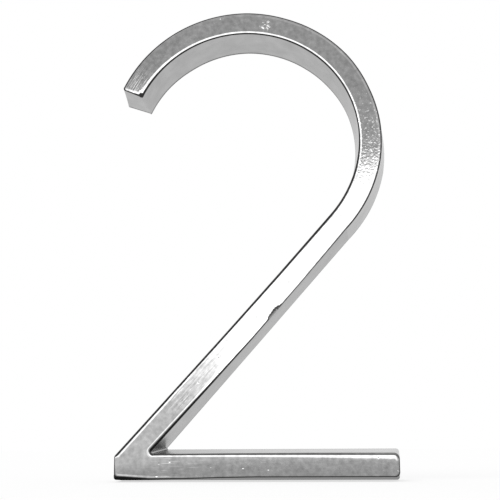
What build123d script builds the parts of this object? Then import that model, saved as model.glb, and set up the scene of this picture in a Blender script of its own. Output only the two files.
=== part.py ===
from build123d import *
import os
from math import acos, atan2, cos, degrees, hypot, radians, sin, tan

# House number two, die cast in one piece. Millimetres.
# X runs to the reader's right, Z up, and Y into the wall. The back lies on the plane Y = 0.
# The origin is midway between the two stud holes, on the back.

# Sizes over all, measured on the back, where the drafted walls stand widest apart
height = 127.0
width = 73.7
depth = 12.6

# The stroke: a round bowl, a straight diagonal that widens a little downwards, and a base bar
stroke = 7.4
bowl_radius = 37.7
bowl_centre_from_left = 34.15
bowl_start_angle = 155.3
base_height = 8.1
left_end_height = 6.6
inner_corner_from_left = 11.8

# The casting's draft, which is steeper on the top and bottom of the base bar, and its polished edges.
# The flat face keeps a small round at each corner, inside the rounded front edge.
draft_angle = 3.1
base_draft_angle = 5.75
front_edge_round = 0.8
face_corner_round = 0.3
inner_corner_round = 0.5

# The two blind holes for M4 wall studs
stud_hole_diameter = 3.3
stud_hole_depth = 8.0
stud_hole_countersink = 0.4
drill_point_angle = 118.0

# Places worked out from the sizes: the holes lie on the middle lines of the bowl's top and of the base
upper_hole_height = height - stroke / 2
lower_hole_height = base_height / 2
bottom = -(upper_hole_height + lower_hole_height) / 2
base_top = bottom + base_height
left = -bowl_centre_from_left
right = left + width
bowl_centre = (0, bottom + height - bowl_radius)
bowl_inner_radius = bowl_radius - stroke
corner_round = front_edge_round + face_corner_round


def on_bowl(radius, angle):
    """The point of a circle about the bowl's centre, at an angle in degrees."""
    return (radius * cos(radians(angle)), bowl_centre[1] + radius * sin(radians(angle)))


def touch_angle(point, radius):
    """The angle at which a line up from a point touches a circle about the bowl's centre."""
    rise = point[1] - bowl_centre[1]
    return degrees(atan2(rise, point[0]) + acos(radius / hypot(point[0], rise)))


# The corners of the back outline
left_bottom = (left, bottom)
right_bottom = (right, bottom)
right_top = (right, base_top)
inner_corner = (left + inner_corner_from_left, base_top)
left_top = (left, bottom + left_end_height)
outer_end = on_bowl(bowl_radius, bowl_start_angle)
inner_end = on_bowl(bowl_inner_radius, bowl_start_angle)

# The diagonal's lower edge rises from the inner corner and touches the bowl's outer circle. Its upper
# edge rises from the top of the left end and touches the inner circle.
outer_touch_angle = touch_angle(inner_corner, bowl_radius)
inner_touch_angle = touch_angle(left_top, bowl_inner_radius)
outer_touch = on_bowl(bowl_radius, outer_touch_angle)
inner_touch = on_bowl(bowl_inner_radius, inner_touch_angle)


def back_outline():
    """The numeral's outline on the back, with sharp corners."""
    outer_sweep = bowl_start_angle - outer_touch_angle
    inner_sweep = bowl_start_angle - inner_touch_angle
    return make_face(
        [
            Line(left_bottom, right_bottom),
            Line(right_bottom, right_top),
            Line(right_top, inner_corner),
            Line(inner_corner, outer_touch),
            CenterArc(bowl_centre, bowl_radius, outer_touch_angle, outer_sweep),
            Line(outer_end, inner_end),
            CenterArc(bowl_centre, bowl_inner_radius, inner_touch_angle, inner_sweep),
            Line(inner_touch, left_top),
            Line(left_top, left_bottom),
        ]
    )


def drafted_edges(body, corners):
    """The edges that rise from corners of the back outline to the front face."""
    rising = body.edges().filter_by(lambda edge: edge.bounding_box().size.Y > depth / 2)
    return [rising.sort_by_distance((x, 0, z))[0] for x, z in corners]


def stud_hole():
    """A blind hole with a countersunk mouth and a drill point, sunk along +Z from the origin."""
    radius = stud_hole_diameter / 2
    point_height = radius / tan(radians(drill_point_angle / 2))
    seat = (Align.CENTER, Align.CENTER, Align.MIN)
    hole = Cylinder(radius, stud_hole_depth, align=seat)
    mouth = Cone(radius + stud_hole_countersink, radius, stud_hole_countersink, align=seat)
    point = Pos(0, 0, stud_hole_depth) * Cone(radius, 0, point_height, align=seat)
    return hole + mouth + point


def numeral():
    """The cast numeral: a drafted stroke with rounded corners and front edge, and two stud holes."""
    prism = extrude(Plane.XZ * back_outline(), depth)
    stroke_walls = prism.faces().filter_by(Axis.Y, reverse=True).filter_by(Axis.Z, reverse=True)
    body = draft(stroke_walls, Plane.XZ, draft_angle)
    base_walls = body.faces().filter_by(Axis.Z)
    body = draft(base_walls, Plane.XZ, base_draft_angle)

    outside_corners = [left_bottom, right_bottom, right_top, outer_end, inner_end, left_top]
    body = fillet(drafted_edges(body, outside_corners), corner_round)
    body = fillet(drafted_edges(body, [inner_corner]), inner_corner_round)
    front_face = body.faces().sort_by(Axis.Y)[0]
    body = fillet(front_face.outer_wire().edges(), front_edge_round)

    for hole_height in (lower_hole_height, upper_hole_height):
        body -= Plane.XZ * Pos(0, bottom + hole_height, 0) * stud_hole()
    return body


os.makedirs("parts", exist_ok=True)
export_step(numeral(), "parts/numeral_two.step")
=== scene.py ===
"""A slim house number two, die cast in one piece and chrome plated, in a plain white studio.

The numeral is one closed surface. A section with drafted walls and polished edges is carried round the
outline, row by row from the back to the front, and a flat back with two tapped stud holes closes it.
Metres. X runs to the reader's right, Y into the wall and Z up, so the face looks along -Y.
"""

import logging
from dataclasses import dataclass, field
from enum import Enum, auto
from math import acos, asin, atan2, cos, hypot, pi, radians, sin, tan
from typing import Union

import bpy
import numpy as np
from bpy.types import ID, Material, Mesh, Node, NodeSocket, NodeTree, Object, bpy_prop_collection
from mathutils.geometry import delaunay_2d_cdt
from numpy.typing import NDArray
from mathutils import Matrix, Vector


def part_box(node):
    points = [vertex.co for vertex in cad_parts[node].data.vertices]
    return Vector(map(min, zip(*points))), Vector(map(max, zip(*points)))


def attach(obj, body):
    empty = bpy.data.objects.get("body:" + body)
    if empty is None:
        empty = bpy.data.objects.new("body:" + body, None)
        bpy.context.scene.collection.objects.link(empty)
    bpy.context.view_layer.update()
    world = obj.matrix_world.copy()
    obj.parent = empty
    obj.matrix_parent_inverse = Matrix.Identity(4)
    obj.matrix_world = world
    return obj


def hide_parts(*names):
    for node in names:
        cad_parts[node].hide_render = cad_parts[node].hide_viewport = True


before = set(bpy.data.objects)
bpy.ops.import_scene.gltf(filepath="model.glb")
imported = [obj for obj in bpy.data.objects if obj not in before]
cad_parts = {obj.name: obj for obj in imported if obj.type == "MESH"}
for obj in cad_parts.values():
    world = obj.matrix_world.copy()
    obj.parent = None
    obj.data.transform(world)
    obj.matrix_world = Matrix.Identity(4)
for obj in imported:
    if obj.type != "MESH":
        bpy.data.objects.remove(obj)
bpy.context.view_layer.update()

Array = NDArray[np.float64]
Indices = NDArray[np.int64]
Value = Union[float, NodeSocket]

LOG = logging.getLogger("house_number")
MM = 0.001
NODE = "numeral_two"
BODY = "root"
TRIANGLES_INSIDE = 1
WELD_MM = 1e-7


class Corner(Enum):
    """The corners of the outline."""

    LEFT_BOTTOM = auto()
    RIGHT_BOTTOM = auto()
    RIGHT_TOP = auto()
    INNER = auto()
    BOWL_OUTER = auto()
    BOWL_INNER = auto()
    LEFT_TOP = auto()


class Side(Enum):
    """The sides of the outline."""

    BOTTOM = auto()
    RIGHT_END = auto()
    BASE_TOP = auto()
    LOWER_DIAGONAL = auto()
    OUTER_BOWL = auto()
    BOWL_END = auto()
    INNER_BOWL = auto()
    UPPER_DIAGONAL = auto()
    LEFT_END = auto()


class RayKind(Enum):
    """The rays that see the white background, as Light Path names them."""

    CAMERA = "Is Camera Ray"
    GLOSSY = "Is Glossy Ray"
    TRANSMISSION = "Is Transmission Ray"


Place = Union[Corner, Side]
Along = dict[Place, tuple[float, ...]]

# The stations of each corner and side, in the order of a round trip
CORNER_STATIONS = 12
STATIONS: dict[Place, int] = {
    Corner.LEFT_BOTTOM: CORNER_STATIONS,
    Side.BOTTOM: 150,
    Corner.RIGHT_BOTTOM: CORNER_STATIONS,
    Side.RIGHT_END: 16,
    Corner.RIGHT_TOP: CORNER_STATIONS,
    Side.BASE_TOP: 110,
    Corner.INNER: CORNER_STATIONS,
    Side.LOWER_DIAGONAL: 360,
    Side.OUTER_BOWL: 260,
    Corner.BOWL_OUTER: CORNER_STATIONS,
    Side.BOWL_END: 18,
    Corner.BOWL_INNER: CORNER_STATIONS,
    Side.INNER_BOWL: 220,
    Side.UPPER_DIAGONAL: 160,
    Corner.LEFT_TOP: CORNER_STATIONS,
    Side.LEFT_END: 14,
}
ROUND_TRIP = tuple(STATIONS)


def unit(angles: Union[float, Array]) -> Array:
    """Unit vectors in X and Z at the given angles."""
    return np.stack([np.cos(angles), np.sin(angles)], axis=-1)


def table(values: dict) -> dict:
    """A dataclass field that holds a table."""
    return field(default_factory=lambda: values)


@dataclass(frozen=True)
class Loop:
    """One closed row of stations round the outline, or a stretch of one.

    Attributes:
        points: The stations' X and Z, one row each.
        outward: The angle of the outward normal at each station.
    """

    points: Array
    outward: Array

    @property
    def inward(self) -> Array:
        """The unit normals that point into the stroke."""
        return -unit(self.outward)


@dataclass(frozen=True)
class CornerRound:
    """The round at one corner: an arc about a centre, with a negative radius where the corner is hollow."""

    centre: Array
    radius: float
    first: float
    last: float

    def at(self, angles: Union[float, Array]) -> Array:
        """Points of the arc where its outward normal has the given angles."""
        return self.centre + self.radius * unit(angles)

    def stretch(self, count: int) -> Loop:
        """The arc's stations, its last point left to the side that follows."""
        angles = np.linspace(self.first, self.last, count, endpoint=False)
        return Loop(self.at(angles), angles)


@dataclass(frozen=True)
class Outline:
    """The numeral's outline: a round bowl, a diagonal that touches it, and a base bar.

    The diagonal widens a little downwards. Its lower edge is straight, and its upper edge bows a very
    little into the stroke.
    """

    left: float
    right: float
    bottom: float
    top: float
    stroke: float = 7.4 * MM
    bowl_radius: float = 37.7 * MM
    bowl_start: float = radians(155.3)
    base_height: float = 8.1 * MM
    left_end_height: float = 6.8 * MM
    inner_corner_from_left: float = 11.8 * MM
    diagonal_bow: float = 0.14 * MM

    @property
    def inner_radius(self) -> float:
        """Radius of the bowl's inner circle."""
        return self.bowl_radius - self.stroke

    @property
    def middle_radius(self) -> float:
        """Radius of the middle line of the bowl's stroke."""
        return self.bowl_radius - self.stroke / 2

    @property
    def base_top(self) -> float:
        """Height of the base bar's top."""
        return self.bottom + self.base_height

    @property
    def base_middle(self) -> float:
        """Height of the base bar's middle line."""
        return self.bottom + self.base_height / 2

    @property
    def centre(self) -> Array:
        """The bowl's centre, which lies above the origin."""
        return np.array([0.0, self.top - self.bowl_radius])

    def touch_angle(self, across: float, height: float, radius: float) -> float:
        """Where a line up from a point touches a circle about the bowl's centre.

        Args:
            across: The point's X.
            height: The point's Z.
            radius: The circle's radius.

        Returns:
            The angle of the touching point, which is also that of the line's normal.
        """
        rise = height - self.centre[1]
        return atan2(rise, across) + acos(radius / hypot(across, rise))

    @property
    def lower_normal(self) -> float:
        """Angle of the normal of the diagonal's lower edge, which rises from the inner corner."""
        return self.touch_angle(self.left + self.inner_corner_from_left, self.base_top, self.bowl_radius)

    @property
    def upper_normal(self) -> float:
        """Angle of the normal of the diagonal's upper edge, which rises from the top of the left end."""
        return self.touch_angle(self.left, self.bottom + self.left_end_height, self.inner_radius)

    def corner(self, place: Corner, inset: float, base_inset: float) -> Array:
        """The sharp corner where two sides meet, after both have moved into the stroke.

        Args:
            place: Which corner.
            inset: How far the sides have moved.
            base_inset: How far the base bar's top and bottom have moved.

        Returns:
            The corner's X and Z.
        """
        if place is Corner.INNER:
            normal = self.lower_normal
            rise = self.base_top - base_inset - self.centre[1]
            across = (self.bowl_radius - inset - sin(normal) * rise) / cos(normal)
            return self.centre + np.array([across, rise])
        if place is Corner.LEFT_TOP:
            normal = self.upper_normal
            across = self.left + inset
            rise = (self.inner_radius + inset - cos(normal) * across) / sin(normal)
            return self.centre + np.array([across, rise])
        if place in (Corner.BOWL_OUTER, Corner.BOWL_INNER):
            outer = place is Corner.BOWL_OUTER
            radius = self.bowl_radius - inset if outer else self.inner_radius + inset
            return self.centre + radius * unit(self.bowl_start - asin(inset / radius))
        across = self.left + inset if place is Corner.LEFT_BOTTOM else self.right - inset
        height = self.base_top - base_inset if place is Corner.RIGHT_TOP else self.bottom + base_inset
        return np.array([across, height])

    def polar(self, point: Array) -> float:
        """The angle of a point, seen from the bowl's centre."""
        across, rise = point - self.centre
        return atan2(rise, across)

    def corner_round(self, place: Corner, inset: float, base_inset: float, radius: float) -> CornerRound:
        """The round at a corner, which both sides run into.

        Its centre is the sharp corner of the outline moved in by the radius, or moved out by it at the one
        hollow corner.

        Args:
            place: Which corner.
            inset: How far the outline has moved into the stroke.
            base_inset: How far the base bar's top and bottom have moved.
            radius: The round's radius.

        Returns:
            The round, with the outward normals at its two ends.
        """
        signed = -radius if place is Corner.INNER else radius
        centre = self.corner(place, inset + signed, base_inset + signed)
        end_normal = self.bowl_start + pi / 2
        first, last = {
            Corner.LEFT_BOTTOM: (pi, 1.5 * pi),
            Corner.RIGHT_BOTTOM: (-pi / 2, 0.0),
            Corner.RIGHT_TOP: (0.0, pi / 2),
            Corner.INNER: (pi / 2, self.lower_normal),
            Corner.BOWL_OUTER: (self.polar(centre), end_normal),
            Corner.BOWL_INNER: (end_normal, self.polar(centre) + pi),
            Corner.LEFT_TOP: (self.upper_normal + pi, pi),
        }[place]
        return CornerRound(centre, signed, first, last)

    def loop(self, inset: float, base_inset: float, radii: dict[Corner, float]) -> Loop:
        """The outline moved into the stroke by an inset, with rounded corners.

        Args:
            inset: How far the sides move in, apart from the base bar's top and bottom.
            base_inset: How far the base bar's top and bottom move in.
            radii: The radius of each corner's round.

        Returns:
            The closed row of stations, anticlockwise as seen from the front.
        """
        lower = self.lower_normal
        upper = self.upper_normal
        rounds = {place: self.corner_round(place, inset, base_inset, radii[place]) for place in Corner}
        starts = {place: rounds[place].at(rounds[place].first) for place in Corner}
        ends = {place: rounds[place].at(rounds[place].last) for place in Corner}
        outer = self.bowl_radius - inset
        inner = self.inner_radius + inset
        outer_touch = self.centre + outer * unit(lower)
        inner_touch = self.centre + inner * unit(upper)
        straight = {
            Side.BOTTOM: (ends[Corner.LEFT_BOTTOM], starts[Corner.RIGHT_BOTTOM], -pi / 2),
            Side.RIGHT_END: (ends[Corner.RIGHT_BOTTOM], starts[Corner.RIGHT_TOP], 0.0),
            Side.BASE_TOP: (ends[Corner.RIGHT_TOP], starts[Corner.INNER], pi / 2),
            Side.LOWER_DIAGONAL: (ends[Corner.INNER], outer_touch, lower),
            Side.BOWL_END: (ends[Corner.BOWL_OUTER], starts[Corner.BOWL_INNER], self.bowl_start + pi / 2),
            Side.UPPER_DIAGONAL: (inner_touch, starts[Corner.LEFT_TOP], upper + pi),
            Side.LEFT_END: (ends[Corner.LEFT_TOP], starts[Corner.LEFT_BOTTOM], pi),
        }
        bowl = {
            Side.OUTER_BOWL: (outer, lower, self.polar(starts[Corner.BOWL_OUTER]), 0.0),
            Side.INNER_BOWL: (inner, self.polar(ends[Corner.BOWL_INNER]), upper, pi),
        }

        def stretch(place: Place) -> Loop:
            """The stations of one corner or side. The diagonal's upper edge bows as a parabola.

            Args:
                place: Which corner or side.

            Returns:
                Its stations, its last point left to what follows.
            """
            count = STATIONS[place]
            if place in rounds:
                return rounds[place].stretch(count)
            if place in straight:
                first, last, outward = straight[place]
                share = np.linspace(0.0, 1.0, count, endpoint=False)[:, None]
                bow = self.diagonal_bow if place is Side.UPPER_DIAGONAL else 0.0
                bend = -4 * bow * share * (1 - share) * unit(outward)
                return Loop(first + (last - first) * share + bend, np.full(count, outward))
            radius, first, last, flip = bowl[place]
            angles = np.linspace(first, last, count, endpoint=False)
            return Loop(self.centre + radius * unit(angles), angles + flip)

        stretches = [stretch(place) for place in ROUND_TRIP]
        points = np.vstack([part.points for part in stretches])
        return Loop(points, np.concatenate([part.outward for part in stretches]))

    def spread(self, values: Along) -> Array:
        """A value for each station, from values at even distances along each side.

        Between two of them the value runs evenly. Round a corner without values of its own it runs from the
        side before to the side after.

        Args:
            values: The values along each side, one or more, and round some of the corners.

        Returns:
            One value for each station of a loop.
        """
        parts = []
        for number, place in enumerate(ROUND_TRIP):
            if place in values:
                knots = values[place]
            else:
                knots = (values[ROUND_TRIP[number - 1]][-1], values[ROUND_TRIP[number + 1]][0])
            share = np.linspace(0.0, 1.0, STATIONS[place], endpoint=False)
            parts.append(np.interp(share, np.linspace(0.0, 1.0, len(knots)), knots))
        return np.concatenate(parts)

    def stroke_place(self, points: Array) -> Array:
        """Where points lie in the stroke: along its middle line, and across it.

        On the bowl these are the arc length and the distance from the middle circle, on the diagonal and
        the base the distances along and from their middle lines. Both are counted from the point where
        the middle lines of diagonal and base cross, so they agree where the two meet.

        Args:
            points: X and Z, one row each.

        Returns:
            Along and across, one row each.
        """
        normal = self.lower_normal
        offset = points - self.centre
        forward = offset @ unit(normal + pi / 2)
        beside = offset @ unit(normal)
        drop = self.base_middle - self.centre[1]
        crossing = np.array([(self.middle_radius - sin(normal) * drop) / cos(normal), drop])
        length = -(crossing @ unit(normal + pi / 2))

        turn = np.mod(np.arctan2(offset[:, 1], offset[:, 0]) - normal, 2 * pi)
        on_bowl = (forward > 0) | (beside < 0)
        diagonal = np.column_stack([forward + length, beside - self.middle_radius])
        bowl = np.column_stack([length + self.middle_radius * turn, np.hypot(*offset.T) - self.middle_radius])
        base = np.column_stack([offset[:, 0] - crossing[0], points[:, 1] - self.base_middle])
        on_base = ~on_bowl & (np.abs(base[:, 1]) < np.abs(diagonal[:, 1]))
        return np.where(on_bowl[:, None], bowl, np.where(on_base[:, None], base, diagonal))


@dataclass(frozen=True)
class Section:
    """The stroke's section: a small round at the back, a drafted wall and a polished front edge.

    The polished edge is two arcs that run into each other: a tight round against the wall and a wide,
    shallow shoulder against the face. A point of the front is given by how far it lies inside the sharp
    edge, and how far behind the face.
    """

    depth: float
    draft: float = radians(3.1)
    base_draft: float = radians(5.75)
    back_round: float = 0.2 * MM
    shoulder_slope: float = radians(10.0)
    support: float = 0.04 * MM
    back_steps: int = 5
    round_steps: int = 11
    shoulder_steps: int = 8
    wall_shares: tuple[float, ...] = (0.004, 0.04, 0.07, 0.25, 0.5, 0.75)
    chip_rows: tuple[float, ...] = (2.2 * MM, 1.8 * MM, 1.5 * MM, 1.2 * MM, 0.95 * MM)

    @property
    def face_inset(self) -> float:
        """How far the draft has brought the wall in, at the level of the face."""
        return self.depth * tan(self.draft)

    @property
    def base_face_inset(self) -> float:
        """How far the draft has brought in the base bar's top and bottom, at the level of the face."""
        return self.depth * tan(self.base_draft)

    @property
    def drafts(self) -> Along:
        """The draft of each side."""
        steep = (Side.BOTTOM, Side.BASE_TOP)
        return {side: (self.base_draft if side in steep else self.draft,) for side in Side}

    def back_rows(self, draft: Array) -> tuple[Array, Array]:
        """The rows of the round at the back.

        The round is an arc that touches the back plane and the drafted wall. Its centre lies in front of
        the back by the radius, and its angle runs from the back plane's normal to the wall's.

        Args:
            draft: The wall's draft at each station.

        Returns:
            Distance inside the back outline and distance in front of the back, one row of stations each.
        """
        radius = self.back_round
        centre = radius * (1 + np.sin(draft)) / np.cos(draft)
        angles = np.linspace(np.zeros_like(draft), pi / 2 + draft, self.back_steps + 1)
        inside = np.vstack([centre + self.support, centre - radius * np.sin(angles)])
        ahead = np.vstack([np.zeros_like(draft), radius * (1 - np.cos(angles))])
        return inside, ahead

    def front_rows(self, draft: Array, edge_round: Array, shoulder: Array) -> tuple[Array, Array]:
        """The rows of the front edge, from the wall over the round and the shoulder to the face.

        With the slope counted from the face, a point of the shoulder lies at its radius times the slope's
        sine from the face's end, and the round goes on from there in the same way with its own radius. The
        face's end is placed so that the round runs into the drafted wall.

        Args:
            draft: The wall's draft at each station.
            edge_round: Radius of the tight round at each station.
            shoulder: Width of the shallow shoulder at each station.

        Returns:
            Distance inside the sharp edge and distance behind the face, one row of stations each.
        """
        slope = self.shoulder_slope
        wide = shoulder / sin(slope)
        behind_wall = wide * (1 - cos(slope)) + edge_round * (cos(slope) - np.sin(draft))
        across_wall = (wide - edge_round) * sin(slope) + edge_round * np.cos(draft)
        face_end = across_wall - behind_wall * np.tan(draft)

        last_angle = np.full_like(draft, slope)
        round_angles = np.linspace(pi / 2 - draft, last_angle, self.round_steps, endpoint=False)
        tight_inside = face_end - wide * sin(slope) - edge_round * (np.sin(round_angles) - sin(slope))
        tight_behind = wide * (1 - cos(slope)) + edge_round * (cos(slope) - np.cos(round_angles))
        shoulder_angles = np.linspace(slope, 0.0, self.shoulder_steps + 1)[:, None]
        shallow_inside = face_end - wide * np.sin(shoulder_angles)
        shallow_behind = wide * (1 - np.cos(shoulder_angles))

        wall_behind = np.vstack([np.full_like(face_end, row) for row in self.chip_rows])
        wall_behind = np.vstack([wall_behind, behind_wall + self.support])
        face_row = face_end + self.support
        inside = np.vstack([-wall_behind * np.tan(draft), tight_inside, shallow_inside, face_row])
        behind = np.vstack([wall_behind, tight_behind, shallow_behind, np.zeros_like(face_row)])
        return inside, behind


@dataclass(frozen=True)
class Chip:
    """A knock on the diagonal's lower front edge: a long, shallow notch where metal is gone."""

    height: float = -20.8 * MM
    half_rise: float = 2.5 * MM
    reach: float = 0.85 * MM
    sink: float = 0.35 * MM
    squareness: float = 3.0
    ripple: float = 0.14
    ripples: float = 17.0
    slower: float = 0.6

    def cut(self, heights: Array, on_edge: Array, inside: Array, behind: Array) -> tuple[Array, Array, Array]:
        """Push back every point of the edge that lies within the notch.

        The notch's section is a quarter of a rounded oblong about the sharp edge: the sum of the squareness'
        powers of the distance inside over the reach and the distance behind over the sink is 1. Reach and
        sink fall off as a parabola to both ends, with a small ripple, the product of a wave and a slower
        one. A point moves straight away from the sharp edge until it lies on the notch.

        Args:
            heights: Height of each station.
            on_edge: Whether each station is on the diagonal's lower edge.
            inside: Distance inside the sharp edge, one row of stations each.
            behind: Distance behind the face, one row of stations each.

        Returns:
            The two distances, with the chip cut, and 1 where metal is gone or else 0.
        """
        place = (heights - self.height) / self.half_rise
        waves = np.sin(self.ripples * place) * np.cos(self.slower * self.ripples * place)
        size = np.where(on_edge, np.clip(1 - place**2, 0.0, None) * (1 + self.ripple * waves), 0.0)
        power = self.squareness
        away = (np.abs(inside / self.reach) ** power + np.abs(behind / self.sink) ** power) ** (1 / power)
        stretch = np.maximum(size / away, 1.0)
        return inside * stretch, behind * stretch, np.where(stretch > 1.0, 1.0, 0.0)


@dataclass(frozen=True)
class StudHole:
    """A blind hole in the back, tapped for a wall stud: countersunk mouth, thread and drill point."""

    core_radius: float = 1.65 * MM
    thread_radius: float = 2.0 * MM
    pitch: float = 0.7 * MM
    flank: float = 1.5
    crest: float = 0.2
    depth: float = 8.0 * MM
    countersink: float = 0.4 * MM
    thread_end: float = 6.6 * MM
    point_angle: float = radians(118.0)
    tip_radius: float = 0.04 * MM
    stations: int = 48
    rows_per_turn: int = 9

    def rows(self, centre: Array) -> Array:
        """The hole's surface, as a grid of angle and depth.

        The mouth is a cone, and the drill point is another. Between them the radius follows the thread: a
        wave that rises and falls evenly, once in each pitch, and turns with the angle, with its crest and
        its root cut off. It fades in at the mouth and out at the thread's end.

        Args:
            centre: X and Z of the hole's axis.

        Returns:
            The grid's points, from the mouth to the tip, one ring each.
        """
        angles = np.linspace(0.0, 2 * pi, self.stations, endpoint=False)[None, :]
        turns = (self.depth - self.countersink) / self.pitch
        depths = np.linspace(self.countersink, self.depth, int(turns * self.rows_per_turn))[:, None]
        wave = np.mod(depths / self.pitch + angles / (2 * pi), 1.0)
        ridge = np.clip(self.flank * np.abs(2 * wave - 1) - self.crest, 0.0, 1.0)
        fade_in = np.clip((depths - self.countersink) / self.pitch, 0.0, 1.0)
        fade_out = np.clip((self.thread_end - depths) / self.pitch, 0.0, 1.0)
        groove = self.thread_radius - self.core_radius
        bore = self.core_radius + groove * ridge * np.minimum(fade_in, fade_out)

        mouth = np.full_like(angles, self.core_radius + self.countersink)
        tip_depth = self.depth + self.core_radius / tan(self.point_angle / 2)
        radii = np.vstack([mouth, bore, np.full_like(angles, self.tip_radius)])
        deep = np.vstack([np.zeros((1, 1)), depths, np.full((1, 1), tip_depth)]) * np.ones_like(angles)
        across = centre[0] + radii * np.cos(angles)
        return np.stack([across, -deep, centre[1] + radii * np.sin(angles)], axis=-1)


def ring_quads(rows: int, stations: int, first: int, outwards: bool) -> Indices:
    """The quads of a grid of closed rings.

    Args:
        rows: How many rings.
        stations: How many points on each ring.
        first: Number of the grid's first point in the mesh.
        outwards: Whether the surface looks away from the rings' middle.

    Returns:
        Four point numbers for each quad.
    """
    numbers = first + np.arange(rows * stations).reshape(rows, stations)
    following = np.roll(numbers, -1, axis=1)
    corners = [numbers[:-1], following[:-1], following[1:], numbers[1:]]
    ordered = corners if outwards else corners[::-1]
    return np.stack(ordered, axis=-1).reshape(-1, 4)


def flat_triangles(loops: list[Array]) -> Indices:
    """Triangles that fill the area within flat closed loops.

    Args:
        loops: X and Z of each loop's points. The loops after the first are round holes in it.

    Returns:
        Three point numbers for each triangle, counted through the loops in order, anticlockwise.
    """
    points = np.vstack(loops)
    counts = [len(loop) for loop in loops]
    starts = np.cumsum([0] + counts[:-1])
    edges = [
        np.column_stack([start + np.arange(count), start + np.roll(np.arange(count), -1)])
        for start, count in zip(starts, counts)
    ]
    scaled = (points / MM).tolist()
    result = delaunay_2d_cdt(scaled, np.vstack(edges).tolist(), [], TRIANGLES_INSIDE, WELD_MM)
    source = np.array([ids[0] for ids in result[3]])
    triangles = source[np.array(result[2])]
    middles = points[triangles].mean(axis=1)
    for hole in loops[1:]:
        centre = hole.mean(axis=0)
        radius = np.hypot(*(hole[0] - centre))
        keep = np.hypot(*(middles - centre).T) > radius
        triangles, middles = triangles[keep], middles[keep]
    return triangles


def add_object(name: str, data: ID) -> Object:
    """Add an object to the scene, at the origin.

    Args:
        name: Its name.
        data: Its mesh, light or camera.

    Returns:
        The new object.
    """
    piece = bpy.data.objects.new(name, data)
    bpy.context.scene.collection.objects.link(piece)
    return piece


def add_mesh(name: str, points: Array, polygons: list) -> Object:
    """Add a mesh object to the scene, with its place in its mesh.

    Args:
        name: Its name, and that of its mesh.
        points: X, Y and Z of each point.
        polygons: Point numbers of each face.

    Returns:
        The new object.
    """
    mesh = bpy.data.meshes.new(name)
    mesh.from_pydata(points.tolist(), [], polygons)
    return add_object(name, mesh)


class Graph:
    """A material's or world's nodes, with short ways to add and join them."""

    def __init__(self, tree: NodeTree) -> None:
        """Start with an empty tree."""
        self.tree = tree
        tree.nodes.clear()

    def feed(self, target: NodeSocket, value: Union[Value, tuple]) -> None:
        """Join a socket to another, or set its own value.

        Args:
            target: The socket.
            value: The other socket, or the value.
        """
        if isinstance(value, NodeSocket):
            self.tree.links.new(value, target)
        else:
            target.default_value = value

    def node(self, kind: str, inputs: dict, **settings: object) -> Node:
        """Add a node.

        Args:
            kind: The node's type.
            inputs: A value or socket for each input, by name or number.
            settings: The node's own properties.

        Returns:
            The new node.
        """
        node = self.tree.nodes.new(kind)
        for name, setting in settings.items():
            setattr(node, name, setting)
        for name, value in inputs.items():
            self.feed(node.inputs[name], value)
        return node

    def math(self, operation: str, *values: Value) -> NodeSocket:
        """The result of a Math node."""
        return self.node("ShaderNodeMath", dict(enumerate(values)), operation=operation).outputs[0]

    def span(self, value: Value, low: float, high: float, first: Value, last: Value) -> NodeSocket:
        """A smooth step: first below low, last above high, and an even curve between."""
        inputs = {"Value": value, "From Min": low, "From Max": high, "To Min": first, "To Max": last}
        return self.node("ShaderNodeMapRange", inputs, interpolation_type="SMOOTHSTEP").outputs[0]

    def step(self, value: Value, middle: float, soft: float, first: Value, last: Value) -> NodeSocket:
        """A smooth step about a middle, with half its width."""
        return self.span(value, middle - soft, middle + soft, first, last)

    def blend(self, share: Value, first: Value, last: Value) -> NodeSocket:
        """An even run from first to last, as the share goes from 0 to 1."""
        return self.node("ShaderNodeMapRange", {"Value": share, "To Min": first, "To Max": last}).outputs[0]

    def noise(self, vector: NodeSocket, scale: tuple, detail: float) -> NodeSocket:
        """Noise on a vector.

        Args:
            vector: The vector.
            scale: The frequency along each of its parts.
            detail: How many finer noises are added.

        Returns:
            The noise, about zero.
        """
        scaled = self.node("ShaderNodeMapping", {"Vector": vector, "Scale": scale}).outputs[0]
        inputs = {"Vector": scaled, "Scale": 1.0, "Detail": detail, "Roughness": 0.5}
        fac = self.node("ShaderNodeTexNoise", inputs).outputs[0]
        return self.math("SUBTRACT", fac, 0.5)

    def attribute(self, name: str, output: str = "Fac") -> NodeSocket:
        """A value that the mesh holds at each point."""
        return self.node("ShaderNodeAttribute", {}, attribute_name=name).outputs[output]

    def place(self) -> NodeSocket:
        """Object coordinates."""
        return self.node("ShaderNodeTexCoord", {}).outputs["Object"]

    def parts(self) -> bpy_prop_collection:
        """Object coordinates, each under its letter."""
        return self.node("ShaderNodeSeparateXYZ", {0: self.place()}).outputs

    def seen(self) -> NodeSocket:
        """Whether the camera, a mirror or glass shows what is looked at.

        Returns:
            1 if so, or else 0.
        """
        rays = self.node("ShaderNodeLightPath", {}).outputs
        seen = self.math("MAXIMUM", rays[RayKind.CAMERA.value], rays[RayKind.GLOSSY.value])
        return self.math("MAXIMUM", seen, rays[RayKind.TRANSMISSION.value])

    def surface(self, shader: Node, output: str = "ShaderNodeOutputMaterial") -> None:
        """Make a shader the graph's result."""
        self.node(output, {"Surface": shader.outputs[0]})


def new_material(name: str) -> tuple[Material, Graph]:
    """Make a material.

    Args:
        name: Its name.

    Returns:
        The new material and its empty graph.
    """
    material = bpy.data.materials.new(name)
    material.use_nodes = True
    return material, Graph(material.node_tree)


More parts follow.
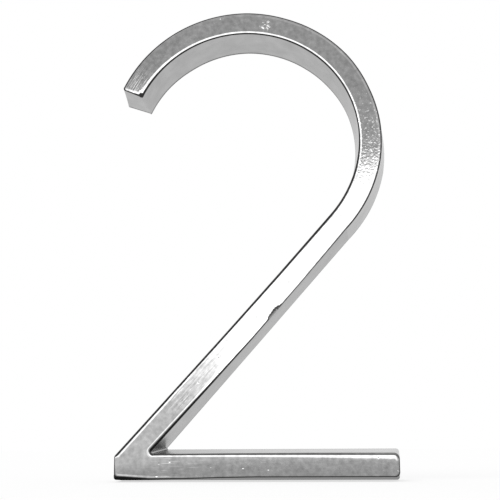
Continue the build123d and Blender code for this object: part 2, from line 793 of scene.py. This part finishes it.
@dataclass(frozen=True)
class Zone:
    """A round stretch of the face, felt fully within one radius and gone beyond another."""

    centre: tuple[float, float, float]
    full: float
    gone: float

    def share(self, graph: Graph) -> NodeSocket:
        """How much of the zone is felt at each place.

        Args:
            graph: The material's nodes.

        Returns:
            A share from 0 to 1.
        """
        inputs = {0: graph.place(), 1: self.centre}
        away = graph.node("ShaderNodeVectorMath", inputs, operation="DISTANCE").outputs["Value"]
        return graph.span(away, self.full, self.gone, 1.0, 0.0)


@dataclass(frozen=True)
class Layer:
    """One layer of noise in the finish.

    Attributes:
        frequency: How fast the noise changes, along the stroke where it has a grain.
        detail: How many finer noises it holds.
        across: How fast it changes across the stroke, where it has a grain.
        height: What it adds to the relief, in metres.
        tone: What it adds to the plate's tone.
        specks: Levels of the noise between which the tone sets in. Without them it follows the noise.
        zones: Where the layer is felt. Without them it is felt everywhere.
    """

    frequency: float
    detail: float
    across: float = 0.0
    height: float = 0.0
    tone: float = 0.0
    specks: tuple[float, ...] = ()
    zones: tuple[Zone, ...] = ()

    def noise(self, graph: Graph) -> NodeSocket:
        """The layer's noise, in its zones only.

        Args:
            graph: The material's nodes.

        Returns:
            The noise, about zero.
        """
        vector = graph.attribute("stroke", "Vector") if self.across else graph.place()
        beside = self.across or self.frequency
        noise = graph.noise(vector, (self.frequency, beside, beside), self.detail)
        if not self.zones:
            return noise
        felt = self.zones[0].share(graph)
        for zone in self.zones[1:]:
            felt = graph.math("MAXIMUM", felt, zone.share(graph))
        return graph.math("MULTIPLY", noise, felt)


@dataclass(frozen=True)
class ChromeFinish:
    """Polished chrome plate: a bright, slightly wavy face, and smooth satin walls.

    Buffing leaves fine lines along the stroke, coarser in a few places. The plate has a faint orange peel and
    a few pits, a rough gouge at the top of the bowl, and one stretch of the bowl is dimpled where the casting
    was porous. The plate's tone is a little cloudy, and on the face it is grainy, streaked where the buffing
    is coarse, with light scratches on the base.
    """

    colour: float = 0.46
    edge_tint: float = 0.8
    face_roughness: float = 0.07
    wall_roughness: float = 0.2
    worn_roughness: float = 0.18
    haze: float = 0.05
    pit_depth: float = 2.6e-5
    pit_frequency: float = 320.0
    pit_size: float = 0.1
    cloud: Layer = Layer(260.0, 3.0, tone=0.4)
    grain: Layer = Layer(800.0, 3.0, tone=0.9)
    peel: Layer = Layer(700.0, 2.0, height=2.0e-6)
    buffing: Layer = Layer(60.0, 3.0, across=900.0, height=2.2e-6)
    scratches: Layer = Layer(220.0, 1.0, across=3400.0, tone=0.6, specks=(0.1, 0.22))
    scratch_zone: Zone = Zone((-18.0 * MM, -12.6 * MM, -58.3 * MM), 4.0 * MM, 8.0 * MM)
    streaks: Layer = Layer(
        170.0, 3.0, across=2500.0, height=3.0e-5, tone=1.4,
        zones=(
            Zone((-13.0 * MM, -12.6 * MM, -38.0 * MM), 6.0 * MM, 14.0 * MM),
            Zone((-33.0 * MM, -12.6 * MM, 42.0 * MM), 4.0 * MM, 12.0 * MM),
        ),
    )
    dimples: Layer = Layer(
        1800.0, 1.0, height=1.5e-5, tone=1.2, specks=(0.1, 0.2),
        zones=(Zone((33.5 * MM, -12.6 * MM, 26.0 * MM), 8.0 * MM, 18.0 * MM),),
    )
    gouge: Layer = Layer(
        1300.0, 2.0, height=1.2e-4, tone=1.4, specks=(0.02, 0.1),
        zones=(Zone((6.2 * MM, -12.6 * MM, 58.8 * MM), 0.8 * MM, 2.2 * MM),),
    )

    def material(self) -> Material:
        """The finish as a material on Object coordinates and the mesh's attributes.

        The relief is the sum of the pits and the layers' heights, on the face only. The tone is the sum of
        the layers' tones, on the face only apart from the clouds.

        Returns:
            The new material.
        """
        material, graph = new_material("polished_chrome")
        face = graph.attribute("face")
        buff = self.buffing.noise(graph)
        layers = [(layer, layer.noise(graph)) for layer in (self.peel, self.streaks, self.gouge, self.dimples)]
        layers += [(self.buffing, buff), (self.grain, self.grain.noise(graph))]

        nearest = {"Vector": graph.place(), "Scale": self.pit_frequency}
        pit_distance = graph.node("ShaderNodeTexVoronoi", nearest).outputs["Distance"]
        relief = graph.span(pit_distance, 0.0, self.pit_size, -self.pit_depth, 0.0)
        scratch = graph.span(self.scratches.noise(graph), *self.scratches.specks, 0.0, self.scratches.tone)
        marks = graph.math("MULTIPLY", scratch, self.scratch_zone.share(graph))
        for layer, noise in layers:
            if layer.height:
                relief = graph.math("MULTIPLY_ADD", noise, layer.height, relief)
            if layer.tone:
                level = graph.span(noise, *layer.specks, 0.0, 1.0) if layer.specks else noise
                marks = graph.math("MULTIPLY_ADD", level, layer.tone, marks)
        height = graph.math("MULTIPLY", relief, face)
        bump = graph.node("ShaderNodeBump", {"Strength": 1.0, "Distance": 1.0, "Height": height})

        tone = graph.math("MULTIPLY_ADD", self.cloud.noise(graph), self.cloud.tone, 1.0)
        tone = graph.math("MULTIPLY_ADD", marks, face, tone)
        # The colour is scaled by the mesh's painted light and shade: painted dark edge lines, painted wall
        # tones and painted rim highlights.
        colour = graph.math("MULTIPLY", tone, graph.math("MULTIPLY", graph.attribute("painted_light"), self.colour))
        haze = graph.math("MULTIPLY_ADD", buff, self.haze, self.face_roughness)
        roughness = graph.blend(face, self.wall_roughness, haze)
        inputs = {
            "Base Color": graph.math("MINIMUM", colour, 1.0),
            "Metallic": 1.0,
            "Roughness": graph.blend(graph.attribute("worn"), roughness, self.worn_roughness),
            "Specular Tint": (self.edge_tint, self.edge_tint, self.edge_tint, 1.0),
            "Normal": bump.outputs[0],
        }
        graph.surface(graph.node("ShaderNodeBsdfPrincipled", inputs))
        return material


@dataclass(frozen=True)
class Skin:
    """The numeral's surface, as a grid of closed rows.

    Attributes:
        points: X, Y and Z of each point.
        painted_light: Painted light and shade at each point, a factor on the plate's colour, 1 on most of it.
        worn: 1 where metal has been knocked off, or else 0.
    """

    points: Array
    painted_light: Array
    worn: Array


@dataclass
class Numeral:
    """The cast numeral, one closed surface.

    The corners' radii are given at the back and at the front, and values along the sides in the order of the
    round trip. Lengths in these tables are in millimetres. The swells are how far the casting lies outside the
    drawn outline. The painted-light tables scale the plate's colour: the back edge's is a painted dark line
    along it, the wall's is painted light and shade on each wall, the round's is painted shade on the tight
    round, and the rim's is a painted highlight along the edge of the face.
    """

    outline: Outline
    section: Section
    finish: ChromeFinish
    chip: Chip = Chip()
    hole: StudHole = StudHole()
    name: str = "chrome_numeral"
    face_half: float = 2.3 * MM
    face_reach: float = 0.9 * MM
    face_fade: float = 0.5 * MM
    middle_round: float = 0.1 * MM
    middle_shares: tuple[float, ...] = (0.1, 0.2, 0.35, 0.6, 0.8, 1.0)
    corner_radii: dict[Corner, tuple[float, float]] = table({
        Corner.LEFT_BOTTOM: (0.4, 0.6),
        Corner.RIGHT_BOTTOM: (0.8, 1.2),
        Corner.RIGHT_TOP: (0.9, 1.4),
        Corner.INNER: (0.4, 0.5),
        Corner.BOWL_OUTER: (0.4, 0.8),
        Corner.BOWL_INNER: (0.4, 0.9),
        Corner.LEFT_TOP: (0.6, 0.9),
    })
    shoulders: Along = table({
        Side.BOTTOM: (0.15,),
        Side.RIGHT_END: (0.6,),
        Side.BASE_TOP: (0.95, 0.6, 0.42, 0.45),
        Side.LOWER_DIAGONAL: (0.3, 0.15, 0.15, 0.15, 0.2),
        Side.OUTER_BOWL: (0.2, 0.25, 0.35, 0.35),
        Side.BOWL_END: (0.6, 0.55),
        Side.INNER_BOWL: (0.75, 0.65, 0.6, 0.55, 0.5, 0.5, 0.5, 0.4, 0.3),
        Side.UPPER_DIAGONAL: (0.3, 0.4, 0.6),
        Side.LEFT_END: (0.2,),
    })
    edge_rounds: Along = table({
        Side.BOTTOM: (1.1, 0.45, 0.32, 0.3, 0.3, 0.28, 0.28, 0.28, 0.28),
        Side.RIGHT_END: (0.4,),
        Side.BASE_TOP: (0.8, 0.55),
        Side.LOWER_DIAGONAL: (0.75, 0.6, 0.35, 0.3, 0.4),
        Side.OUTER_BOWL: (0.4, 0.5, 0.7, 0.75),
        Side.BOWL_END: (0.32, 0.36, 0.6),
        Corner.BOWL_INNER: (0.7, 1.1, 1.2, 0.9, 0.6),
        Side.INNER_BOWL: (0.6, 0.42, 0.38, 0.38, 0.45, 0.5, 0.45, 0.7, 0.85),
        Side.UPPER_DIAGONAL: (0.9, 0.8),
        Side.LEFT_END: (0.3, 0.5),
    })
    back_swell: Along = table({
        Side.BOTTOM: (-0.07,),
        Side.LOWER_DIAGONAL: (0.2, 0.1, 0.0, -0.15, -0.3),
        Side.OUTER_BOWL: (-0.3, 0.2, 0.6, 0.5, 0.2, 0.0, 0.0, 0.0, 0.0, 0.0, 0.0, 0.0, 0.0),
        Corner.BOWL_OUTER: (0.0, 0.0, 0.1, 0.33),
        Side.BOWL_END: (0.33, -0.3),
        Side.INNER_BOWL: (0.0, 0.0, 0.15, 0.05, 0.0, 0.15, 0.28, 0.25, 0.05, 0.05, 0.1, 0.1, 0.0),
    })
    front_swell: Along = table({
        Side.BOTTOM: (0.5, 0.6, 0.5, 0.25, 0.12, 0.12, 0.12, 0.12, 0.12),
        Side.BASE_TOP: (0.2, 0.25, 0.22, 0.12),
        Side.LOWER_DIAGONAL: (-0.3, 0.0, 0.2, 0.0, -0.4),
        Side.OUTER_BOWL: (-0.4, -0.2, 0.0, 0.0, -0.1, 0.1, 0.05, 0.0, 0.2, 0.25, 0.25, 0.15, 0.0),
        Side.BOWL_END: (0.12, 0.0),
        Side.INNER_BOWL: (0.0, 0.0, 0.0, 0.0, 0.0, 0.0, 0.0, 0.0, 0.0, 0.0, 0.1, 0.2, 0.2),
        Side.UPPER_DIAGONAL: (0.2, 0.0, -0.05, 0.0, 0.0),
    })
    # Painted shade: a thin dark line along the back edge, its rows and its factor on the plate's colour.
    back_edge_shade_rows: int = 2
    back_edge_painted_shade: float = 0.3
    # Painted light and shade on the walls: their colour is scaled up or down to the brightness of their
    # reflections, darker near the inner corner.
    wall_painted_light: Along = table({
        Side.BASE_TOP: (1.3, 1.3, 1.2, 1.1, 0.8, 0.6),
        Side.LOWER_DIAGONAL: (1.0, 0.8, 0.8, 0.8),
        Side.INNER_BOWL: (0.93,),
    })
    # Painted shade: the tight front round's colour is scaled down to dark edge lines.
    round_painted_shade: Along = table({
        Side.BOTTOM: (0.05,),
        Side.RIGHT_END: (0.3,),
        Side.BASE_TOP: (0.5, 0.3),
        Side.LOWER_DIAGONAL: (0.08, 0.08, 0.2, 0.35, 0.35),
        Side.OUTER_BOWL: (0.14, 0.1, 0.08, 0.08),
        Side.BOWL_END: (0.15,),
        Side.INNER_BOWL: (0.1,),
        Side.UPPER_DIAGONAL: (0.08,),
        Side.LEFT_END: (0.25,),
    })
    # Painted highlight: bright bands added to the colour along the edge of the face, and the rows they cover.
    rim_highlight_rows: tuple[int, int] = (3, 2)
    rim_painted_highlight: Along = table({
        Side.BOTTOM: (1.2, 0.8, 0.2, 0.0, 0.0, 0.0, 0.0, 0.0, 0.0),
        Side.LOWER_DIAGONAL: (1.0, 1.2, 0.3, 0.0, 0.0),
        Side.OUTER_BOWL: (0.0, 0.35, 0.35, 0.1, 0.0),
    })

    @property
    def hole_centres(self) -> list[Array]:
        """The stud holes' axes, on the middle lines of the bowl's top and of the base."""
        heights = (self.outline.top - self.outline.stroke / 2, self.outline.base_middle)
        return [np.array([0.0, height]) for height in heights]

    def along(self, values: Along, elsewhere: float) -> Array:
        """A value for each station, given along some of the sides and the same elsewhere."""
        return self.outline.spread({**{side: (elsewhere,) for side in Side}, **values})

    def skin(self) -> Skin:
        """The surface's rows, from the back round the section to the middle of the face.

        A row of the back round lies inside the back outline, along its normals. A row of the front edge lies
        inside the outline that the draft gives at the face, on the way from there to the middle of the
        stroke, so that the rows never cross at a corner. The wall's and the face's rows are shares of the
        way between their two neighbours.

        Returns:
            The grid, one closed row of stations each.
        """
        section = self.section
        half = self.face_half
        back_radii, front_radii = (
            {place: radii[end] * MM for place, radii in self.corner_radii.items()} for end in (0, 1)
        )
        back = self.outline.loop(0.0, 0.0, back_radii)
        front = self.outline.loop(section.face_inset, section.base_face_inset, front_radii)
        middle_radii = {place: self.middle_round for place in Corner}
        middle_radii[Corner.INNER] = front_radii[Corner.INNER] + half
        middle = self.outline.loop(section.face_inset + half, section.base_face_inset + half, middle_radii)
        to_middle = (middle.points - front.points) / half

        def row(points: Array, way: Array, inside: Array, level: Array) -> Array:
            """One row of points, moved in along the given ways, at the given level."""
            flat = points + way * np.reshape(inside, (-1, 1))
            return np.column_stack([flat[:, 0], np.broadcast_to(level, len(flat)), flat[:, 1]])

        def between(first: Array, last: Array, shares: tuple[float, ...]) -> list[Array]:
            """Rows at shares of the way from one row to another."""
            return [first + (last - first) * share for share in shares]

        draft = self.outline.spread(section.drafts)
        inside, ahead = section.back_rows(draft)
        inside = inside - self.along(self.back_swell, 0.0) * MM
        back_rows = [row(back.points, back.inward, a, -b) for a, b in zip(inside, ahead)]
        edge_round = self.outline.spread(self.edge_rounds) * MM
        shoulder = self.outline.spread(self.shoulders) * MM
        inside, behind = section.front_rows(draft, edge_round, shoulder)
        on_edge = self.along({Side.LOWER_DIAGONAL: (1.0,)}, 0.0) > 0.5
        inside, behind, broken = self.chip.cut(front.points[:, 1], on_edge, inside, behind)
        inside = inside - self.along(self.front_swell, 0.0) * MM
        front_rows = [row(front.points, to_middle, a, b - section.depth) for a, b in zip(inside, behind)]
        wall_rows = between(back_rows[-1], front_rows[0], section.wall_shares)
        centre_row = row(middle.points, to_middle, np.zeros(1), -section.depth)
        face_rows = between(front_rows[-1], centre_row, self.middle_shares)

        points = np.stack(back_rows + wall_rows + front_rows + face_rows)
        first_wall = len(back_rows) + self.back_edge_shade_rows
        first_front = len(back_rows) + len(wall_rows)
        worn = np.zeros(points.shape[:2])
        worn[first_front : first_front + len(front_rows)] = broken
        return Skin(points, self.painted_light(points.shape[:2], first_wall, first_front), worn)

    def painted_light(self, shape: tuple[int, int], first_wall: int, first_front: int) -> Array:
        """The painted light and shade on each point of the grid, a factor on the plate's colour.

        Args:
            shape: Number of rows and stations.
            first_wall: The first row of the wall in front of the painted dark line along the back edge.
            first_front: The first row of the front edge.

        Returns:
            One value for each point, 1 on most of the plate.
        """
        first_round = first_front + len(self.section.chip_rows) + 1
        first_shoulder = first_round + self.section.round_steps
        first_face = first_shoulder + self.section.shoulder_steps + 1
        painted_light = np.ones(shape)
        # Painted shade: a thin dark line along the back edge.
        painted_light[1:first_wall] = self.back_edge_painted_shade
        # Painted light and shade on the walls.
        painted_light[first_wall:first_round] = self.along(self.wall_painted_light, 1.0)
        # Painted shade on the tight round.
        painted_light[first_round:first_shoulder] = self.along(self.round_painted_shade, 1.0)
        # Painted highlight along the rim of the face.
        painted_light[first_face - self.rim_highlight_rows[0] : first_face + self.rim_highlight_rows[1]] += self.along(self.rim_painted_highlight, 0.0)
        return painted_light

    def build(self) -> Object:
        """Make the numeral's mesh and object.

        Returns:
            The new object, with its place in its mesh.
        """
        skin = self.skin()
        rows = skin.points
        count, stations, _ = rows.shape
        holes = [self.hole.rows(centre) for centre in self.hole_centres]
        hole_rows, hole_stations, _ = holes[0].shape
        points = np.vstack([rows.reshape(-1, 3)] + [hole.reshape(-1, 3) for hole in holes])
        hole_starts = [count * stations + number * hole_rows * hole_stations for number in range(len(holes))]

        quads = [ring_quads(count, stations, 0, True)]
        quads += [ring_quads(hole_rows, hole_stations, start, False) for start in hole_starts]
        face = (count - 1) * stations + flat_triangles([rows[-1][:, [0, 2]]])
        back_loops = [rows[0][:, [0, 2]]] + [hole[0][:, [0, 2]] for hole in holes]
        ring = np.arange(hole_stations)
        back_numbers = np.concatenate([np.arange(stations)] + [start + ring for start in hole_starts])
        back = back_numbers[flat_triangles(back_loops)][:, ::-1]
        tips = [(start + (hole_rows - 1) * hole_stations + ring).tolist() for start in hole_starts]

        polygons = np.vstack(quads).tolist() + face.tolist() + back.tolist() + tips
        piece = add_mesh(self.name, points, polygons)
        smooth = np.ones(len(polygons), dtype=bool)
        smooth[-len(back) - len(tips) : -len(tips)] = False
        piece.data.polygons.foreach_set("use_smooth", smooth)
        self.mark(piece.data, points, skin)
        piece.data.validate()
        piece.data.update()
        return piece

    def mark(self, mesh: Mesh, points: Array, skin: Skin) -> None:
        """Store where each point lies in the stroke, how much it belongs to the face, its painted light and
        shade, and its wear.

        Args:
            mesh: The numeral's mesh.
            points: The mesh's points, first those of the grid and then those of the holes.
            skin: The grid.
        """
        place = np.column_stack([self.outline.stroke_place(points[:, [0, 2]]), points[:, 1]])
        stroke = mesh.attributes.new("stroke", "FLOAT_VECTOR", "POINT")
        stroke.data.foreach_set("vector", place.astype(np.float32).ravel())
        fade_start = self.face_reach - self.section.depth
        others = len(points) - skin.painted_light.size
        marks = {
            "face": np.clip((fade_start - points[:, 1]) / self.face_fade, 0.0, 1.0),
            # Painted light and shade, a factor on the plate's colour
            "painted_light": np.append(skin.painted_light.ravel(), np.ones(others)),
            "worn": np.append(skin.worn.ravel(), np.zeros(others)),
        }
        for name, values in marks.items():
            attribute = mesh.attributes.new(name, "FLOAT", "POINT")
            attribute.data.foreach_set("value", values.astype(np.float32))

    def dress(self, piece: Object) -> None:
        """Give the numeral its finish and tell the frame what it stands for."""
        piece.data.materials.append(self.finish.material())
        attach(piece, BODY)
        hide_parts(NODE)


def level_oblong(across: tuple[float, float], ahead: tuple[float, float], level: float) -> Array:
    """The corners of a level oblong, anticlockwise from above.

    Args:
        across: X of its left and right edges.
        ahead: Y of its front and back edges.
        level: Its Z.

    Returns:
        X, Y and Z of the four corners.
    """
    left, right = across
    front, back = ahead
    return np.array([[left, front, level], [right, front, level], [right, back, level], [left, back, level]])


class StagePiece:
    """A piece of the stage. Its kind gives its form and its shader. Most kinds are glowing sheets that show
    only in reflections and light nothing, painted reflections in the chrome.
    """

    name = ""
    mirrored_only = True

    def points(self) -> Array:
        """The piece's points."""
        raise NotImplementedError

    def polygons(self) -> list:
        """Point numbers of the piece's faces, which is one face with four corners on most kinds."""
        return [list(range(4))]

    def glow(self, graph: Graph) -> NodeSocket:
        """How strongly each place of the piece glows."""
        raise NotImplementedError

    def shader(self, graph: Graph) -> Node:
        """The piece's shader, an even white glow of the given strength on most kinds."""
        return graph.node("ShaderNodeEmission", {"Strength": self.glow(graph)})

    def build(self) -> Object:
        """Add the piece to the scene. Its glow isn't sampled as a light.

        Returns:
            The new object.
        """
        material, graph = new_material(self.name)
        graph.surface(self.shader(graph))
        material.cycles.emission_sampling = "NONE"
        piece = add_mesh(self.name, self.points(), self.polygons())
        piece.data.materials.append(material)
        # Mirrored-only pieces glow without lighting anything and show only in reflections: painted reflections.
        if self.mirrored_only:
            piece.visible_camera = False
            piece.visible_diffuse = False
            piece.visible_shadow = False
        return piece


@dataclass(frozen=True)
class Floor(StagePiece):
    """A square under the number, in matt paint mixed with an even white for what the camera and mirrors see.

    Attributes:
        level: Its height.
        half: Half its width.
        colour: The paint's grey.
        white: The white's share.
    """

    level: float
    half: float = 4.0
    colour: float = 0.95
    white: float = 0.65
    name = "floor"
    mirrored_only = False

    def points(self) -> Array:
        """The floor's corners."""
        return level_oblong((-self.half, self.half), (-self.half, self.half), self.level)

    def shader(self, graph: Graph) -> Node:
        """The paint, mixed with the even white.

        Args:
            graph: The material's nodes.

        Returns:
            The mixing node.
        """
        paint = graph.node("ShaderNodeBsdfDiffuse", {"Color": (self.colour, self.colour, self.colour, 1.0)})
        even = graph.node("ShaderNodeEmission", {"Strength": 1.0})
        share = graph.math("MULTIPLY", graph.seen(), self.white)
        return graph.node("ShaderNodeMixShader", {0: share, 1: paint.outputs[0], 2: even.outputs[0]})


@dataclass(frozen=True)
class ReflectionTent(StagePiece):
    """A glowing dome in front, seen only in reflections: a painted reflection, dusky ahead, pale overhead and
    at the sides.

    Attributes:
        radius: The dome's radius.
        cap: Lean of its first ring, counted from straight ahead.
        lean: Lean of its last ring.
        turns: Stations on each ring.
        rings: Number of rings.
        dusky: Its glow ahead.
        pale: Its glow overhead and at the sides.
        overhead: Heights between which dusky turns to pale.
        beside: Distances to either side between which it does.
    """

    radius: float = 0.8
    cap: float = 0.02
    lean: float = radians(112.0)
    turns: int = 48
    rings: int = 16
    dusky: float = 0.3
    pale: float = 0.9
    overhead: tuple[float, float] = (0.15, 0.6)
    beside: tuple[float, float] = (0.35, 0.75)
    # Glows only in reflections: a painted reflection that lights nothing.
    name = "reflection_tent"

    def points(self) -> Array:
        """The dome's points, from the radius times sine and cosine of the lean and the turn.

        Returns:
            X, Y and Z of each point, ring by ring.
        """
        turn = np.linspace(0.0, 2 * pi, self.turns, endpoint=False)[None, :]
        lean = np.linspace(self.cap, self.lean, self.rings)[:, None]
        across = self.radius * np.sin(lean) * np.cos(turn)
        up = self.radius * np.sin(lean) * np.sin(turn)
        ahead = -self.radius * np.cos(lean) * np.ones_like(turn)
        return np.stack([across, ahead, up], axis=-1).reshape(-1, 3)

    def polygons(self) -> list:
        """The dome's faces, with one that closes the first ring."""
        return ring_quads(self.rings, self.turns, 0, False).tolist() + [list(range(self.turns))]

    def glow(self, graph: Graph) -> NodeSocket:
        """The larger of a smooth step upwards and one to either side.

        Args:
            graph: The material's nodes.

        Returns:
            The glow's strength.
        """
        parts = graph.parts()
        upwards = graph.span(parts["Z"], *self.overhead, self.dusky, self.pale)
        sideways = graph.span(graph.math("ABSOLUTE", parts["X"]), *self.beside, self.dusky, self.pale)
        return graph.math("MAXIMUM", upwards, sideways)


@dataclass(frozen=True)
class LightBoard(StagePiece):
    """A tall glowing board behind the camera, seen only in reflections, with a bright window in it that the
    polished face mirrors: a painted reflection that lights nothing.

    It is mid grey above the window and paler below the sill, which has a soft hump on its left. The left half
    of the window is a little taller.
    """

    distance: float = 0.6
    half_width: float = 0.40
    low: float = -0.15
    high: float = 0.58
    upper_grey: float = 0.62
    lower_grey: float = 1.05
    bright: float = 2.6
    window_low: float = -0.03
    window_high: float = 0.19
    window_left: float = -0.31
    window_right: float = 0.16
    left_rise: float = 0.055
    hump_place: float = -0.12
    hump_half_width: float = 0.035
    hump_height: float = 0.07
    softness: float = 0.012
    sill_softness: float = 0.055
    # Glows only in reflections: a painted reflection, with a painted bright window.
    name = "light_board"

    def points(self) -> Array:
        """The board's corners, seen from the number, anticlockwise."""
        across = self.half_width * np.array([1.0, -1.0, -1.0, 1.0])
        up = np.array([self.low, self.low, self.high, self.high])
        return np.column_stack([across, np.full(4, -self.distance), up])

    def glow(self, graph: Graph) -> NodeSocket:
        """Grey, and bright within the window and above a rounded hump in its sill.

        Args:
            graph: The material's nodes.

        Returns:
            The glow's strength.
        """
        parts = graph.parts()
        across, up = parts["X"], parts["Z"]
        soft = self.softness
        beside = graph.math("ABSOLUTE", graph.math("SUBTRACT", across, self.hump_place))
        hump = graph.span(beside, 0.0, 2 * self.hump_half_width, self.hump_height, 0.0)
        rise = graph.step(across, 0.0, 2 * soft, self.left_rise, 0.0)
        inside = graph.step(graph.math("SUBTRACT", up, hump), self.window_low, self.sill_softness, 0.0, 1.0)
        under = graph.step(graph.math("SUBTRACT", up, rise), self.window_high, soft, 1.0, 0.0)
        right = graph.step(across, self.window_right, soft, 1.0, 0.0)
        left = graph.step(across, self.window_left, soft, 0.0, 1.0)
        for part in (under, right, left):
            inside = graph.math("MULTIPLY", inside, part)
        grey = graph.span(up, self.window_low, self.window_high, self.lower_grey, self.upper_grey)
        return graph.math("MULTIPLY_ADD", inside, graph.math("SUBTRACT", self.bright, grey), grey)


@dataclass(frozen=True)
class FloorReflectionCard(StagePiece):
    """A glowing card just above the floor in front, seen only in reflections: darker near the number and paler
    beyond, most of all on the left, painted shade and light in the chrome's reflections.

    Attributes:
        level: Its height.
        near: Distance of its near edge from the number's back.
        far: Distance of its far edge.
        half_width: Half its width.
        dark: Its glow near the number.
        grey: Its glow further out.
        left_grey: Its glow further out on the left.
        reach: Distance at which dark turns to grey.
        left_reach: How much further the dark reaches on the left.
        left_place: Where that begins, to the left of the middle.
        softness: Half the width of the turn.
    """

    level: float
    near: float
    far: float = 0.598
    half_width: float = 0.4
    dark: float = 0.4
    grey: float = 0.6
    left_grey: float = 0.95
    reach: float = 0.03
    left_reach: float = 0.075
    left_place: float = 0.058
    softness: float = 0.02
    # Glows only in reflections: painted shade near the number in the chrome's reflections.
    name = "floor_reflection_card"

    def points(self) -> Array:
        """The card's corners."""
        return level_oblong((-self.half_width, self.half_width), (-self.far, -self.near), self.level)

    def glow(self, graph: Graph) -> NodeSocket:
        """A smooth step from dark to grey with the distance in front.

        Args:
            graph: The material's nodes.

        Returns:
            The glow's strength.
        """
        parts = graph.parts()
        left = graph.step(parts["X"], -self.left_place, self.softness, 1.0, 0.0)
        turn = graph.math("MULTIPLY_ADD", left, self.left_reach, parts["Y"])
        grey = graph.math("MULTIPLY_ADD", left, self.left_grey - self.grey, self.grey)
        return graph.step(turn, -self.reach, self.softness, grey, self.dark)


@dataclass(frozen=True)
class UnderReflectionCard(StagePiece):
    """A glowing card just above the floor under and behind the base, seen only in reflections: dark on the
    left, or else grey, painted shade in the base's reflections.

    Attributes:
        level: Its height.
        near: Distance of its front edge from the number's back.
        depth: How far it reaches back from there.
        left: Where it begins on the left.
        right: Where it ends on the right.
        dark: Its glow on the left.
        grey: Its glow further right.
        turn: Where dark turns to grey, to the right of the middle.
        softness: Half the width of the turn.
    """

    level: float
    near: float
    depth: float = 18.0 * MM
    left: float = -36.0 * MM
    right: float = 42.0 * MM
    dark: float = 0.02
    grey: float = 0.4
    turn: float = -24.0 * MM
    softness: float = 6.0 * MM
    # Glows only in reflections: painted shade in the base's bottom edges.
    name = "under_reflection_card"

    def points(self) -> Array:
        """The card's corners."""
        return level_oblong((self.left, self.right), (-self.near, self.depth - self.near), self.level)

    def glow(self, graph: Graph) -> NodeSocket:
        """A smooth step from dark to grey towards the right."""
        return graph.step(graph.parts()["X"], self.turn, self.softness, self.dark, self.grey)


@dataclass
class Studio:
    """A pale floor, a white surround, soft light, and the glowing boards, seen only in reflections, that paint
    the chrome's reflections.
    """

    floor_level: float
    card_lift: float = 0.1 * MM
    card_near: float = 12.0 * MM
    world_fill: float = 0.74
    sun_strength: float = 1.2
    sun_spread: float = radians(50.0)
    sun_turn: tuple[float, float, float] = (radians(35.0), radians(-20.0), 0.0)

    def pieces(self) -> tuple[StagePiece, ...]:
        """The pieces of the stage.

        Returns:
            The pieces, in the order in which they are added.
        """
        level = self.floor_level + self.card_lift
        cards = (FloorReflectionCard(level, self.card_near), UnderReflectionCard(level, self.card_near))
        return (LightBoard(), *cards, Floor(self.floor_level), ReflectionTent())

    def world(self) -> None:
        """White for what the camera and the reflections see, and a softer fill for what lies in the light."""
        world = bpy.data.worlds.new("white_surround")
        world.use_nodes = True
        graph = Graph(world.node_tree)
        strength = graph.math("MULTIPLY_ADD", graph.seen(), 1.0 - self.world_fill, self.world_fill)
        inputs = {"Color": (1.0, 1.0, 1.0, 1.0), "Strength": strength}
        graph.surface(graph.node("ShaderNodeBackground", inputs), "ShaderNodeOutputWorld")
        bpy.context.scene.world = world

    def sun(self) -> Object:
        """A broad soft light from above and in front, which gives the floor its shadow.

        Returns:
            The new light.
        """
        light = bpy.data.lights.new("soft_sun", "SUN")
        light.energy = self.sun_strength
        light.angle = self.sun_spread
        lamp = add_object("soft_sun", light)
        lamp.rotation_euler = self.sun_turn
        lamp.visible_glossy = False
        return lamp


@dataclass(frozen=True)
class Viewpoint:
    """The camera: level with the base, a little to the right, tipped up at the bowl."""

    place: tuple[float, float, float] = (21.92 * MM, -264.53 * MM, -55.14 * MM)
    turn: tuple[float, float, float] = (radians(101.39), radians(0.27), radians(4.66))
    lens: float = 70.546
    sensor: float = 36.0
    nearest: float = 10 * MM

    def camera(self) -> None:
        """Make the camera and look through it."""
        data = bpy.data.cameras.new("viewpoint")
        data.lens = self.lens
        data.sensor_width = self.sensor
        data.clip_start = self.nearest
        camera = add_object("viewpoint", data)
        camera.location = self.place
        camera.rotation_euler = self.turn
        bpy.context.scene.camera = camera


def main() -> None:
    """Build the numeral and its studio."""
    logging.basicConfig(level=logging.INFO, format="%(name)s: %(message)s")
    low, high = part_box(NODE)
    outline = Outline(left=low[0], right=high[0], bottom=low[2], top=high[2])
    section = Section(depth=high[1] - low[1])
    numeral = Numeral(outline, section, ChromeFinish())
    piece = numeral.build()
    numeral.dress(piece)
    LOG.info("%s has %d faces", piece.name, len(piece.data.polygons))

    studio = Studio(floor_level=low[2])
    staged = [part.build() for part in studio.pieces()]
    for part in (*staged, studio.sun()):
        LOG.info("%s is in place", part.name)
    studio.world()
    Viewpoint().camera()
    bpy.context.scene.view_settings.view_transform = "Standard"


if __name__ == "__main__":
    main()
